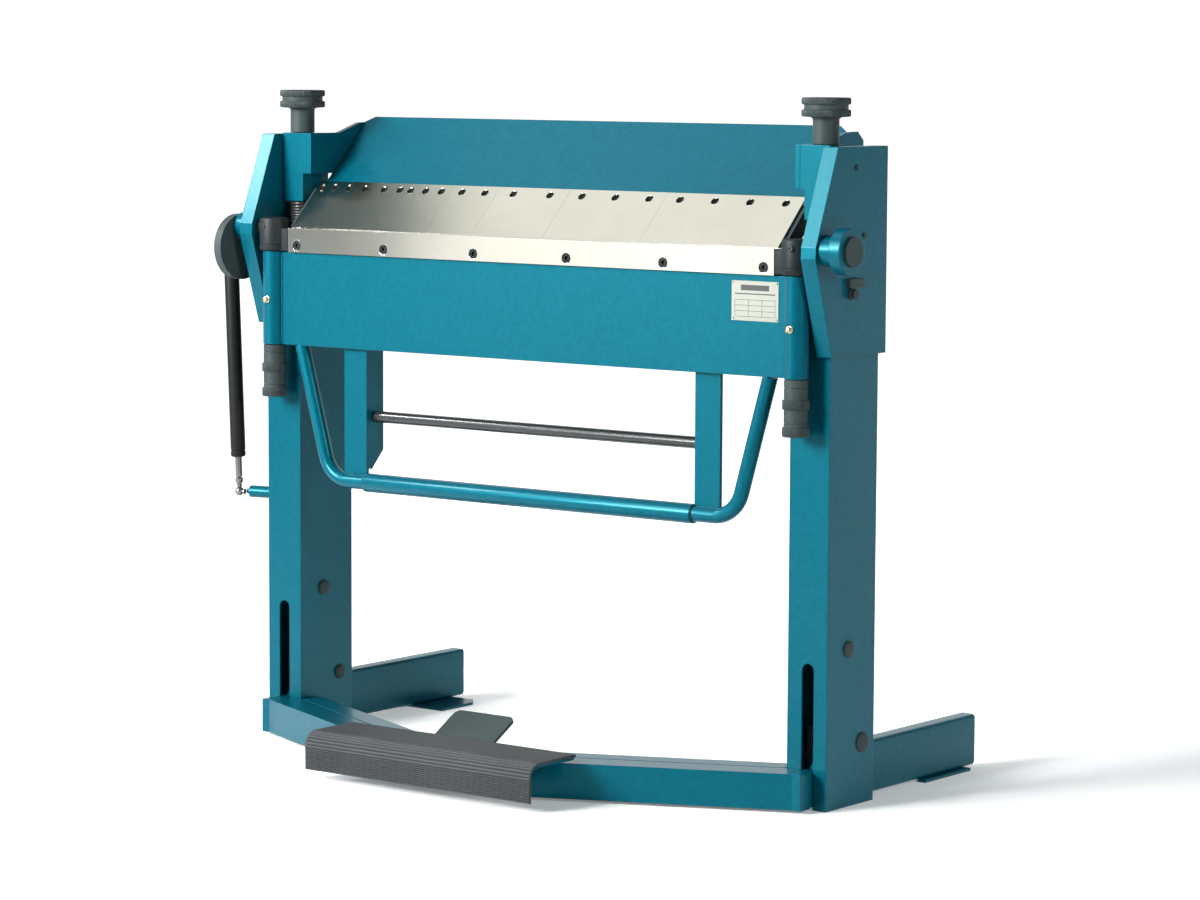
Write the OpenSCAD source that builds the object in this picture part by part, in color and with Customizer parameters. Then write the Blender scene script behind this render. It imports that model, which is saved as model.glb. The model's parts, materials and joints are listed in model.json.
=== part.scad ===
// Foot-operated box and pan folder (sheet metal brake), 1020 mm working length.
// X runs along the bend line, Y runs to the rear, Z is up, millimetres.
// The origin is on the floor, midway between the two anchor holes.

/* [Working length] */
// Length of the bed, the blade and the whole set of clamping segments
work_len = 1020; // [1000:10:1040]
// Height of the bend line above the floor
bend_z = 890; // [870:1:910]

/* [Posts] */
// Distance of the posts' front face in front of the anchor holes
post_front = 370; // [350:1:400]
// Half the width over the outer faces of the posts
post_out = 592.5; // [590:0.5:596]
// Width of a post
post_w = 75; // [73:1:77]
// Depth of a post
post_d = 135; // [130:1:140]
// Wall thickness of the folded post
post_wall = 4; // [3:0.5:5]
// Height of the pedal slot in the front of a post
slot_top = 234; // [200:1:260]
// Width of the pedal slot
slot_w = 23; // [22:1:26]

/* [Cheeks] */
// Half the width over the outer faces of the cheeks
cheek_out = 603; // [600:0.5:606]
// Thickness of a cheek
cheek_t = 28; // [26:1:28]
// Height of the top of a cheek
cheek_top = 1050; // [1040:1:1051]
// Height of the bottom of a cheek
cheek_low = 722; // [700:1:740]
// Radius of the pivot bush on a cheek
bush_r = 24; // [22:1:26]
// Radius of the collar on the right bush
collar_r = 36.5; // [32:0.5:40]

/* [Hinge] */
// Distance of the vertical hinge shafts from the middle
shaft_x = 549; // [548:0.5:549.5]
// Radius of the pivot pin in the cheek
pin_r = 16; // [14:1:18]
// Radius of the vertical shaft in the end tube
shaft_r = 14; // [12:0.5:14]
// Clearance of a running fit, on the radius
fit = 0.05; // [0.02:0.01:0.1]
// Radius of the crank disc
disc_r = 57; // [50:1:60]
// Distance of the crank pin below the pivot
crank_drop = 40; // [36:1:42]

/* [Bending beam] */
// Thickness of the hardened blade on the bending beam
blade_t = 8; // [6:0.5:10]
// Height of the blade
blade_h = 41.5; // [38:0.5:44]
// Height of the bottom edge of the bending beam
beam_low = 688; // [680:1:700]
// Outer radius of the tubes at the ends of the beam
tube_r = 17.25; // [17:0.25:18]
// Radius of the handle tube
handle_r = 12.5; // [11:0.5:13]
// Radius of the sleeve grip
sleeve_r = 16; // [15:0.5:17]
// Height of the handle's grip centre
handle_z = 459; // [450:1:470]

/* [Clamping beam] */
// Widths of the clamping segments from left to right, which add up to the length
seg_w = [25, 30, 35, 40, 45, 50, 75, 100, 150, 200, 270]; // [25:5:270]
// Number of screws in each segment
seg_screws = [1, 1, 1, 1, 1, 2, 2, 2, 2, 3, 4]; // [1:1:4]
// Distance of the outer screws from the ends of each segment
seg_inset = [12.5, 15, 17.5, 20, 22.5, 13, 20, 25, 36, 31, 31]; // [10:1:40]
// Length of the segments' sloping front face
seg_len = 110; // [100:1:115]
// Thickness of the clamping plate
clamp_t = 12; // [10:1:14]
// Distance of the clamping spindles from the middle
spindle_x = 549.5; // [549:0.5:551]
// Radius of the clamping spindles
spindle_r = 10; // [8:1:11]
// Radius of the handwheels
wheel_r = 39; // [36:1:42]

/* [Pedal] */
// Height of the pedal bow
bow_h = 58; // [54:1:60]
// Half the length of the rubber cover
cover_half = 236; // [220:1:250]
// Thickness of the rubber cover
rubber_t = 5; // [4:0.5:6]

/* [Feet] */
// Height of the rear feet
foot_h = 86; // [80:1:90]
// Width of the rear feet
foot_w = 30; // [28:1:32]
// Distance of the feet's rear ends behind the anchor holes
foot_rear = 108; // [100:1:120]
// Half the distance between the anchor holes
anchor_x = 503; // [500:1:510]
// Radius of the anchor holes
anchor_r = 7; // [6:0.5:8]

/* [Hidden] */
$fn = 64;

fy = -post_front;               // front face of the posts
bend_y = fy - 31;               // bend line, which is also the swing axis
nose_gap = 1.5;                 // gap in front of the segments' nose, for the swinging blade
post_in = post_out - post_w;    // inner face of a post
cheek_in = cheek_out - cheek_t; // inner face of a cheek
post_top = bend_z - 6;          // top of a post
cap_top = bend_z + 2;           // top of the post's cap, the spring's seat
slot_x = 556;                   // middle of the pedal slot and the arm
arm_half = 10;                  // half the thickness of a pedal arm
boss_left = 19;                 // length of the left bush
boss_right = 48;                // length of the right bush with its collar
disc_t = 15.5;                  // thickness of the crank disc
disc_x = -cheek_out - boss_left - 0.5; // inner face of the crank disc
spindle_y = fy + 44;            // clamping spindles
block_half = 25;                // half the depth of a guide block
block_low = bend_z + 44;        // bottom of a guide block, on its spring
block_step = bend_z + 92;       // step of a guide block
block_top = bend_z + 162;       // top of a guide block
wheel_low = block_top + 0.5;    // bottom of a handwheel
wheel_top = bend_z + 236;       // top of a handwheel
gusset_in = 508;                // inner face of a clamping gusset
gusset_t = 10;                  // thickness of a clamping gusset
pivot_y = fy + 101;             // pedal pivot
pivot_z = 99;
guide_y = fy + 60;              // rod guide bolt
guide_z = 254;
link_y = fy + 46;               // cross pin of the pedal arm in the rod's fork
link_z = 84.3;
gas_x = -653;                   // plane of the gas spring
crank_y = bend_y + 2;           // crank pin
crank_z = bend_z - crank_drop;
ball_y = fy - 1;                // lower ball of the gas spring
ball_z = 420.5;
gas_len = norm([crank_y - ball_y, crank_z - ball_z]);
gas_lean = atan2(crank_y - ball_y, crank_z - ball_z);
blade_low = bend_z - blade_h;
beam_face = bend_y - 2;         // front face of the bending beam's plate
beam_back = bend_y + 10;        // back face of the bending beam's plate
adj_top = beam_low - 1;         // top of an adjuster
adj_low = beam_low - 91;        // bottom of an adjuster
rib_x0 = 347;                   // ribs behind the bending beam
rib_x1 = 397;
handle_y = bend_y + 10;         // plane of the handle tube
leg_x = 493;                    // top of the handle's legs
bow_low = 5;
bow_top = bow_low + bow_h;
bow_mid = fy - 235;             // front of the bow's straight middle
bow_x = 120;                    // half the length of the bow's middle
bow_ang = 24;                   // angle of the bow's two slanted sides
shoe_top = bow_top + 11;        // top of the steel shoe under the rubber
shoe_front = fy - 300;          // front of the steel shoe
shoe_back = fy - 185;
paint = [0.05, 0.52, 0.64];
black = [0.16, 0.17, 0.17];
steel = [0.74, 0.74, 0.70];

// ---- helpers ----

// Draws the children for the right side (+1) or, mirrored, for the left side (-1)
module side(s) {
    if (s > 0) children();
    else mirror([1, 0, 0]) children();
}

// A box between two corners
module box(a, b) {
    translate(a) cube(b - a);
}

// Extrudes an outline of [y, z] points along X from x0 to x1
module slab(x0, x1, points) {
    translate([x0, 0, 0]) rotate([90, 0, 90]) linear_extrude(x1 - x0) polygon(points);
}

// A cylinder along X from x0 to x1
module x_rod(x0, x1, y, z, r) {
    translate([x0, y, z]) rotate([0, 90, 0]) cylinder(r = r, h = x1 - x0);
}

// A cylinder along Y from y0 to y1
module y_rod(y0, y1, x, z, r) {
    translate([x, y0, z]) rotate([-90, 0, 0]) cylinder(r = r, h = y1 - y0);
}

// A cylinder along Z from z0 to z1
module z_rod(z0, z1, x, y, r) {
    translate([x, y, z0]) cylinder(r = r, h = z1 - z0);
}

// The clamping slope: u runs up the 45 degree face from the nose, w runs into the beam
function slope(u, w) = [bend_y + nose_gap + (u + w) * cos(45), bend_z + 1 + (u - w) * sin(45)];

// Y of the clamping plate's back face at the height z
function plate_back(z) = bend_y + nose_gap + 0.1 + (z - bend_z - 1) + (9 + clamp_t) * sqrt(2);

// Y of the bow's front outline moved back by d, at the distance x from the middle
function bow_y(d, x) = bow_mid + (d + (x - bow_x) * sin(bow_ang)) / cos(bow_ang);
function bow_corner(d) = bow_x - d * tan(bow_ang / 2);

// A strip of the bow from depth d0 to depth d1, out to the distance x_end
module bow_strip(d0, d1, x_end, z0, z1) {
    translate([0, 0, z0]) linear_extrude(z1 - z0) polygon([
        [-x_end, bow_y(d0, x_end)], [-bow_corner(d0), bow_mid + d0],
        [bow_corner(d0), bow_mid + d0], [x_end, bow_y(d0, x_end)],
        [x_end, bow_y(d1, x_end)], [bow_corner(d1), bow_mid + d1],
        [-bow_corner(d1), bow_mid + d1], [-x_end, bow_y(d1, x_end)]]);
}

// An L-shaped plate bent along X: top at z1, front at y0, thickness t, outer bend radius r
module bent_plate(half, y0, y1, z0, z1, t, r) {
    translate([-half, 0, 0]) rotate([90, 0, 90]) linear_extrude(2 * half) {
        translate([y0 + r, z1 - t]) square([y1 - y0 - r, t]);
        translate([y0, z0]) square([t, z1 - z0 - r]);
        translate([y0 + r, z1 - r]) intersection() {
            difference() {
                circle(r = r);
                circle(r = r - t);
            }
            translate([-r, 0]) square([r, r]);
        }
    }
}

// A helical coil as one closed polyhedron
module coil(r, wire, h, turns) {
    sides = 6;
    per_turn = 16;
    n = per_turn * turns;
    rise = h - 2 * wire;
    points = [for (i = [0 : n], k = [0 : sides - 1])
        let (a = 360 * i / per_turn, b = 360 * k / sides)
        [(r + wire * cos(b)) * cos(a), (r + wire * cos(b)) * sin(a),
            wire + rise * i / n + wire * sin(b)]];
    walls = [for (i = [0 : n - 1], k = [0 : sides - 1])
        let (m = (k + 1) % sides)
        [i * sides + k, i * sides + m, (i + 1) * sides + m, (i + 1) * sides + k]];
    first = [for (k = [0 : sides - 1]) sides - 1 - k];
    last = [for (k = [0 : sides - 1]) n * sides + k];
    polyhedron(points, concat([first], walls, [last]), convexity = 10);
}

// ---- frame ----

// One post: a folded box with the pedal slot in front and a recess for the cheek
module post(s) {
    color(paint) side(s) difference() {
        box([post_in, fy, 0], [post_out, fy + post_d, post_top]);
        box([post_in + post_wall, fy + post_wall, -1],
            [post_out - post_wall, fy + post_d - post_wall, post_top + 1]);
        box([cheek_in, fy - 1, cheek_low], [post_out + 1, fy + post_d + 1, post_top + 1]);
        box([slot_x - slot_w / 2, fy - 1, -1], [slot_x + slot_w / 2, fy + 6, slot_top - slot_w / 2]);
        y_rod(fy - 1, fy + 6, slot_x, slot_top - slot_w / 2, slot_w / 2);
        x_rod(post_in - 1, post_out + 1, pivot_y, pivot_z, 10);
        x_rod(post_in - 1, post_out + 1, guide_y, guide_z, 5);
    }
}

// The caps that close the posts, guide the rods and carry the springs
module post_caps() {
    color(paint) for (s = [-1, 1]) side(s) difference() {
        box([post_in, fy, post_top], [cheek_in, fy + post_d, cap_top]);
        z_rod(post_top - 1, cap_top + 1, spindle_x, spindle_y, spindle_r + fit);
    }
}

// One cheek: the thick side plate that carries the swing pivot
module cheek(s) {
    boss = s > 0 ? boss_right : boss_left;
    color(paint) side(s) difference() {
        union() {
            slab(cheek_in, cheek_out, [
                [fy, cheek_top], [fy + 140, cheek_top], [fy + 140, cheek_low],
                [fy - 12, cheek_low], [fy - 60, bend_z - 12], [fy - 59, bend_z + 6]]);
            x_rod(cheek_out - 1, cheek_out + boss, bend_y, bend_z, bush_r);
            if (s > 0) x_rod(cheek_out + boss - 20, cheek_out + boss, bend_y, bend_z, collar_r);
        }
        x_rod(cheek_in - 1, cheek_out + boss + 1, bend_y, bend_z, pin_r + fit);
    }
}

// The box section that ties the posts together under the bed
module bed_beam() {
    color(paint) difference() {
        box([-post_in, fy - 4, bend_z - 150], [post_in, fy + 110, bend_z - 12]);
        box([-post_in - 1, fy + 16, bend_z - 130], [post_in + 1, fy + 90, bend_z - 32]);
    }
}

// The ground steel bed with its thin nose at the bend line
module bed_blade() {
    color(steel) slab(-work_len / 2, work_len / 2, [
        [bend_y + 0.6, bend_z - 0.5], [bend_y + 0.6, bend_z - 8], [fy - 16, bend_z - 12],
        [fy + 100, bend_z - 12], [fy + 100, bend_z - 0.5]]);
}

// One rear foot: a rectangular tube from the post to the rear
module foot(s) {
    color(paint) side(s) difference() {
        box([slot_x - foot_w / 2, fy + post_d, 5], [slot_x + foot_w / 2, foot_rear - 4, 5 + foot_h]);
        box([slot_x - foot_w / 2 + 3, fy + post_d + 4, 8],
            [slot_x + foot_w / 2 - 3, foot_rear, 2 + foot_h]);
    }
}

module foot_caps() {
    color(paint) for (s = [-1, 1]) side(s)
        box([slot_x - foot_w / 2, foot_rear - 4, 5], [slot_x + foot_w / 2, foot_rear, 5 + foot_h]);
}

// The bolt-down pads under the rear ends of the feet
module foot_pads() {
    color(paint) for (s = [-1, 1]) side(s) difference() {
        linear_extrude(5) polygon([
            [476, -34], [560, -34], [566, -62], [582, -62], [582, 78], [494, 78], [476, 54]]);
        z_rod(-1, 6, anchor_x, 0, anchor_r);
    }
}

// The blocks inside the posts that guide the lower ends of the clamping rods
module rod_guides() {
    color(black) for (s = [-1, 1]) side(s) difference() {
        box([post_in + post_wall, fy + 28, guide_z - 14],
            [post_out - post_wall, fy + 76, guide_z + 14]);
        z_rod(guide_z - 15, guide_z + 15, spindle_x, spindle_y, spindle_r + fit);
        x_rod(post_in, post_out, guide_y, guide_z, 5);
    }
}

// Low round bolt heads on both faces of a post, with the shank between them
module post_bolt(y, z, shank, inner, outer) {
    x_rod(post_in, post_out, y, z, shank);
    x_rod(post_in - 5, post_in, y, z, inner);
    x_rod(post_out, post_out + 5, y, z, outer);
}

module rod_guide_bolts() {
    color(black) for (s = [-1, 1]) side(s) post_bolt(guide_y, guide_z, 5, 13.5, 14);
}

module pedal_pivots() {
    color(black) for (s = [-1, 1]) side(s) post_bolt(pivot_y, pivot_z, 10, 12.7, 16.5);
}

// The slanted peg on the left post that holds the gas spring's lower ball
module gas_spring_bracket() {
    color(paint) difference() {
        translate([gas_x, ball_y, ball_z]) rotate([0, 90, 14]) {
            z_rod(17, 85, 0, 0, 10.5);
            z_rod(10, 18, 0, 0, 4.5);
        }
        box([-post_out, fy - 40, ball_z - 20], [-post_out + 60, fy + 60, ball_z + 20]);
    }
}

// The bending angle stop on the right cheek: a bracket with a hexagon bolt
module angle_stop() {
    color(black) {
        box([cheek_out, fy + 26, bend_z - 60], [cheek_out + 8, fy + 66, bend_z - 46]);
        x_rod(cheek_out, cheek_out + 4, fy + 39, bend_z - 70, 9);
        translate([cheek_out + 4, fy + 39, bend_z - 70]) rotate([0, 90, 0])
            cylinder(r = 8, h = 7, $fn = 6);
    }
}

module cheek_screws() {
    color(black) for (p = [[fy + 52, bend_z + 127], [fy + 75, bend_z + 20]])
        x_rod(cheek_out, cheek_out + 2.5, p[0], p[1], 4.5);
}

// ---- hinge arms ----

// One hinge arm: the upright shaft for the beam and the pin that turns in the cheek
module hinge_arm(s) {
    reach = 0.5 + (s > 0 ? cheek_out + boss_right : cheek_out + boss_left);
    color(black) side(s) {
        z_rod(blade_low + 2, bend_z + 17, shaft_x, bend_y, 25);
        z_rod(adj_low + 8, blade_low + 3, shaft_x, bend_y, shaft_r);
        x_rod(shaft_x, reach, bend_y, bend_z, pin_r);
        box([work_len / 2 + 1.5, bend_y - blade_t, blade_low + 2], [shaft_x, bend_y, bend_z - 1.5]);
    }
}

module arm_set_screws() {
    color(black) for (s = [-1, 1]) side(s) y_rod(bend_y - 27, bend_y - 24, shaft_x + 4, bend_z + 3, 5);
}

// The disc on the left pin with the crank pin for the gas spring
module crank_disc() {
    color(black) {
        x_rod(disc_x - disc_t, disc_x, bend_y, bend_z - 36, disc_r);
        x_rod(gas_x - 10, disc_x - disc_t, crank_y, crank_z, 5);
    }
}

module pivot_cap() {
    color(black) x_rod(cheek_out + boss_right + 0.5, cheek_out + boss_right + 5, bend_y, bend_z, 23.5);
}

// ---- bending beam ----

module apron_plate() {
    color(paint) {
        box([-shaft_x + tube_r - 1, beam_face, beam_low],
            [shaft_x - tube_r + 1, beam_back, blade_low - 0.5]);
        box([-work_len / 2, bend_y, blade_low - 0.6], [work_len / 2, beam_back, bend_z - 16]);
    }
}

module end_tube(s) {
    color(paint) side(s) difference() {
        z_rod(beam_low, blade_low + 1, shaft_x, bend_y, tube_r);
        z_rod(beam_low - 1, blade_low + 2, shaft_x, bend_y, shaft_r + fit);
        box([post_in, beam_face, beam_low - 1], [shaft_x - tube_r + 1, beam_back, bend_z]);
    }
}

// Positions of the six screws along the blade
function blade_screw_x() = [for (i = [-5 : 2 : 5]) i * 98];

module apron_blade() {
    color(steel) difference() {
        box([-work_len / 2, bend_y - blade_t, blade_low], [work_len / 2, bend_y, bend_z]);
        for (x = blade_screw_x()) {
            y_rod(bend_y - blade_t - 1, bend_y - 2, x, bend_z - 29.5, 9);
        }
    }
}

module blade_screws() {
    color(black) for (x = blade_screw_x()) difference() {
        y_rod(bend_y - blade_t, bend_y - 2, x, bend_z - 29.5, 8);
        translate([x, bend_y - blade_t + 4, bend_z - 29.5]) rotate([90, 0, 0])
            cylinder(r = 4.2, h = 10, $fn = 6);
    }
}

// One L-shaped rib from the beam down to the handle
module rib(s) {
    color(paint) side(s) {
        box([rib_x0, beam_back, handle_z + handle_r + 1.2], [rib_x1, beam_back + 6, bend_z - 40]);
        slab(rib_x0, rib_x0 + 6, [
            [beam_back + 5, handle_z + 24], [beam_back + 14, handle_z + 22],
            [beam_back + 44, handle_z + 54], [beam_back + 44, beam_low],
            [beam_back + 5, beam_low + 40]]);
    }
}

module rib_rod() {
    color(black) x_rod(-rib_x0, rib_x0, bend_y + 33, 571, 10);
}

// The U-shaped handle: two upright legs, two bends each side and the grip
module handle_tube() {
    lean = 15.8;        // lean of the legs
    bend_r = 55;        // radius of the bend into the grip
    low_z = handle_z + bend_r * (1 - sin(lean));
    straight = (beam_low - low_z) / cos(lean);
    end_x = leg_x - straight * sin(lean) - bend_r * cos(lean);
    color(paint) for (s = [-1, 1]) side(s) translate([0, handle_y, 0]) difference() {
        union() {
            translate([leg_x, 0, beam_low]) rotate([0, 180 + lean, 0])
                translate([0, 0, -10]) cylinder(r = handle_r, h = straight + 10);
            translate([end_x, 0, handle_z + bend_r]) rotate([90, 0, 0]) rotate([0, 0, -90])
                rotate_extrude(angle = 90 - lean) translate([bend_r, 0]) circle(handle_r);
            x_rod(0, end_x, 0, handle_z, handle_r);
        }
        box([leg_x - 40, -40, beam_low], [leg_x + 40, 40, beam_low + 40]);
    }
}

module handle_sleeve() {
    color(paint) difference() {
        x_rod(-rib_x0, rib_x0, handle_y, handle_z, sleeve_r);
        x_rod(-rib_x0 - 1, rib_x0 + 1, handle_y, handle_z, handle_r);
    }
}

module rating_plate() {
    color([0.9, 0.9, 0.82]) box([426, beam_face - 1, bend_z - 115], [516, beam_face, bend_z - 52]);
}

module grease_nipples() {
    color([0.75, 0.6, 0.3]) for (s = [-1, 1]) side(s) {
        y_rod(bend_y - tube_r - 5, bend_y - tube_r + 0.1, shaft_x, bend_z - 124, 4);
        y_rod(bend_y - tube_r - 9, bend_y - tube_r - 5, shaft_x, bend_z - 124, 2.5);
    }
}

// One adjuster: a threaded sleeve with two knurled rings under the end tube
module adjuster(s) {
    color(black) side(s) difference() {
        union() {
            z_rod(adj_low, adj_top, shaft_x, bend_y, 19);
            z_rod(adj_low, adj_low + 15, shaft_x, bend_y, 21.7);
            z_rod(adj_low + 43, adj_low + 58, shaft_x, bend_y, 21.7);
        }
        z_rod(adj_low - 1, adj_top + 1, shaft_x, bend_y, shaft_r + fit);
    }
}

// ---- gas spring ----

// Draws the children in the gas spring's own axis, Z upwards from the lower ball
module on_gas() {
    translate([gas_x, ball_y, ball_z]) rotate([-gas_lean, 0, 0]) children();
}

module gas_cylinder() {
    color(black) on_gas() difference() {
        union() {
            z_rod(64, gas_len - 14, 0, 0, 13);
            z_rod(gas_len - 15, gas_len, 0, 0, 8);
            x_rod(-7, 7, 0, gas_len, 11);
        }
        x_rod(-8, 8, 0, gas_len, 5 + fit);
        z_rod(63, gas_len - 40, 0, 0, 6 + fit);
    }
}

module gas_rod() {
    color([0.85, 0.85, 0.86]) on_gas() {
        z_rod(5, 160, 0, 0, 6);
        sphere(r = 8);
    }
}

// ---- clamping beam ----

module clamp_plate() {
    top_u = 275;
    depth = 9 + clamp_t;
    color(paint) difference() {
        slab(-gusset_in, gusset_in, [slope(61, 9), slope(top_u, 9), slope(top_u, depth),
            slope(61, depth)]);
        for (s = [-1, 1]) side(s)
            translate([0, slope(top_u - 13, 0)[0], slope(top_u - 13, 0)[1]]) rotate([45, 0, 0])
                translate([0, 0, -60]) linear_extrude(120) polygon([
                    [gusset_in + 1, 0], [gusset_in - 18, 14], [gusset_in - 18, 30],
                    [gusset_in + 1, 30]]);
    }
}

// The floor and the rear web that close the clamping beam into a box
module clamp_web() {
    color(paint) {
        slab(-gusset_in, gusset_in, [[plate_back(bend_z + 60), bend_z + 60],
            [fy + 186, bend_z + 60], [fy + 186, bend_z + 179],
            [plate_back(bend_z + 179), bend_z + 179], [fy + 176, bend_z + 176],
            [fy + 176, bend_z + 70], [plate_back(bend_z + 70), bend_z + 70]]);
    }
}

module gusset(s) {
    color(paint) side(s) slab(gusset_in, gusset_in + gusset_t, [
        [fy + 19, block_step], [fy + 19, block_top], [fy + 95, block_top],
        [fy + 150, block_top + 17], [fy + 182, block_top + 18], [fy + 198, block_top + 4],
        [fy + 198, bend_z + 60], [fy + 84, bend_z + 60], [fy + 84, block_step]]);
}

// One guide block on the clamping spindle
module guide_block(s) {
    inner = spindle_x - 22.5;
    outer = cheek_in - 2;
    color(paint) side(s) difference() {
        union() {
            box([inner, spindle_y - block_half, block_low],
                [outer, spindle_y + block_half, block_step + 1]);
            box([gusset_in + gusset_t, spindle_y - block_half, block_step],
                [outer, spindle_y + block_half, block_top]);
        }
        z_rod(block_low - 1, block_top + 1, spindle_x, spindle_y, spindle_r);
    }
}

// One clamping rod: the spindle down to the fork over the pedal arm
module clamp_rod(s) {
    color(black) side(s) {
        z_rod(128, wheel_low + 60, spindle_x, spindle_y, spindle_r);
        difference() {
            box([slot_x - 20, fy + 30, 68], [slot_x + 20, fy + 60, 129]);
            box([slot_x - 11, fy + 29, 67], [slot_x + 11, fy + 61, 114]);
            box([slot_x - 21, link_y - 3, link_z - 6.6], [slot_x + 21, link_y + 3, link_z + 6.6]);
            for (y = [link_y - 3, link_y + 3]) x_rod(slot_x - 21, slot_x + 21, y, link_z, 6.6);
        }
    }
}

// Left end of the segment with the number i
function seg_start(i) = i == 0 ? -work_len / 2 : seg_start(i - 1) + seg_w[i - 1];

// Positions of the screws in the segment with the number i
function screw_x(i) = seg_screws[i] == 1 ? [seg_start(i) + seg_w[i] / 2] :
    [for (k = [0 : seg_screws[i] - 1]) seg_start(i) + seg_inset[i]
        + k * (seg_w[i] - 2 * seg_inset[i]) / (seg_screws[i] - 1)];

// Places the children on a screw axis, square to the sloping face
module at_screw(x) {
    p = slope(95, 0);
    translate([x, p[0], p[1]]) rotate([-135, 0, 0]) children();
}

module segments(first, last) {
    color(steel) for (i = [first : last]) difference() {
        slab(seg_start(i) + 0.1, seg_start(i) + seg_w[i] - 0.1, [
            slope(0, 0), slope(seg_len, 0), slope(seg_len, 9), slope(60.5, 9), slope(60.5, 28),
            [slope(60.5, 28)[0], bend_z + 4], [bend_y + 24, bend_z + 3], [bend_y + 20, bend_z + 1]]);
        for (x = screw_x(i)) at_screw(x) translate([0, 0, -1]) cylinder(r = 7, h = 30);
    }
}

module segment_screws() {
    color(black) for (i = [0 : len(seg_w) - 1], x = screw_x(i)) at_screw(x)
        translate([0, 0, 3]) cylinder(r = 6.9, h = 6);
}

// The dark end plates beside the first and the last segment
module segment_end_plates() {
    color(black) for (s = [-1, 1]) side(s)
        slab(work_len / 2, work_len / 2 + 8, [slope(6, 4), slope(95, 4), slope(95, 30),
            slope(40, 30), [slope(40, 30)[0], bend_z + 12], [bend_y + 12, bend_z + 4]]);
}

// One handwheel with its neck, which turns on the spindle
module handwheel(s) {
    color(black) side(s) translate([spindle_x, spindle_y, 0]) difference() {
        union() {
            z_rod(wheel_low, wheel_top - 29, 0, 0, 21);
            z_rod(wheel_top - 30, wheel_top, 0, 0, wheel_r - 4);
            for (z = [wheel_top - 30, wheel_top - 11]) z_rod(z, z + 11, 0, 0, wheel_r);
        }
        z_rod(wheel_low - 1, wheel_low + 61, 0, 0, spindle_r + fit);
    }
}

module spring(s) {
    color(black) side(s) translate([spindle_x, spindle_y, cap_top + 0.3])
        coil(20, 2.6, block_low - cap_top - 0.6, 7);
}

// ---- pedal ----

module pedal_bow() {
    end_x = slot_x + 16;
    color(paint) difference() {
        union() {
            bow_strip(0, 52, slot_x, bow_low, bow_top);
            for (s = [-1, 1]) side(s) box([slot_x - 18, fy - 41, bow_low], [end_x, fy - 14, bow_top]);
            bow_strip(51, 92, post_in - 4, bow_low, bow_top);
        }
        bow_strip(50.5, 53.5, slot_x, bow_top - 3, bow_top + 1);
        bow_strip(4, 48, post_in - 10, bow_low - 1, bow_top - 5);
        bow_strip(56, 88, post_in - 12, bow_low - 1, bow_top - 5);
        for (s = [-1, 1]) side(s) {
            box([post_in - 3, fy - 3, 0], [post_out + 20, fy + 200, 100]);
            box([slot_x - arm_half, fy - 34, 0], [slot_x + arm_half, fy + 200, 100]);
        }
    }
}

// The two arms that run through the slots to the pivots inside the posts
module pedal_arms() {
    color(paint) for (s = [-1, 1]) side(s) difference() {
        union() {
            slab(slot_x - arm_half, slot_x + arm_half, [
                [fy - 34, bow_low], [fy - 34, bow_top], [fy + 16, bow_top], [fy + 34, 100],
                [pivot_y - 12, 119], [pivot_y + 18, 85], [fy + 72, 70], [fy + 40, bow_low]]);
            x_rod(slot_x - arm_half, slot_x + arm_half, pivot_y, pivot_z, 24);
            x_rod(slot_x - 19, slot_x + 19, link_y, link_z, 6);
        }
        x_rod(slot_x - arm_half - 1, slot_x + arm_half + 1, pivot_y, pivot_z, 10 + fit);
    }
}

// The bent steel shoe on the middle of the bow
module pedal_shoe() {
    color(paint) {
        bent_plate(cover_half - 4, shoe_front, shoe_back, 22, shoe_top, 5, 20);
        box([-110, bow_mid + 2, bow_top], [110, shoe_back - 4, shoe_top - 4]);
    }
}

module pedal_cover() {
    color(black) bent_plate(cover_half, shoe_front - rubber_t, shoe_back, 16, shoe_top + rubber_t,
        rubber_t, 25);
}

// The toe plate that rises behind the cover
module toe_plate() {
    color(black) translate([0, shoe_back + 2.6, shoe_top - 4]) rotate([30, 0, 0]) linear_extrude(5) {
        translate([-62, 0]) square([124, 60]);
        translate([-50, 59]) square([100, 13]);
        for (x = [-50, 50]) translate([x, 60]) circle(r = 12);
    }
}

post(-1);  // left_post
post(1);  // right_post
post_caps();
cheek(-1);  // left_cheek
cheek(1);  // right_cheek
bed_beam();
bed_blade();
foot(-1);  // left_foot
foot(1);  // right_foot
foot_pads();
foot_caps();
rod_guides();
rod_guide_bolts();
pedal_pivots();
gas_spring_bracket();
angle_stop();
cheek_screws();
hinge_arm(-1);  // left_hinge_arm
hinge_arm(1);  // right_hinge_arm
arm_set_screws();
crank_disc();
pivot_cap();
apron_plate();
end_tube(-1);  // left_end_tube
end_tube(1);  // right_end_tube
apron_blade();
blade_screws();
rib(-1);  // left_rib
rib(1);  // right_rib
rib_rod();
handle_tube();
handle_sleeve();
rating_plate();
grease_nipples();
adjuster(-1);  // left_adjuster
adjuster(1);  // right_adjuster
gas_cylinder();
gas_rod();
clamp_plate();
clamp_web();
gusset(-1);  // left_gusset
gusset(1);  // right_gusset
guide_block(-1);  // left_guide_block
guide_block(1);  // right_guide_block
clamp_rod(-1);  // left_clamp_rod
clamp_rod(1);  // right_clamp_rod
segments(0, 4);  // narrow_segments
segments(5, 8);  // middle_segments
segments(9, 10);  // wide_segments
segment_screws();
segment_end_plates();
handwheel(-1);  // left_handwheel
handwheel(1);  // right_handwheel
spring(-1);  // left_spring
spring(1);  // right_spring
pedal_bow();
pedal_arms();
pedal_shoe();
pedal_cover();
toe_plate();
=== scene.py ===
"""Looks of a foot-operated box and pan folder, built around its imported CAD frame. Metres, Z up."""

import json
import math

import bmesh
import bpy
from mathutils import Matrix, Vector


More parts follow.
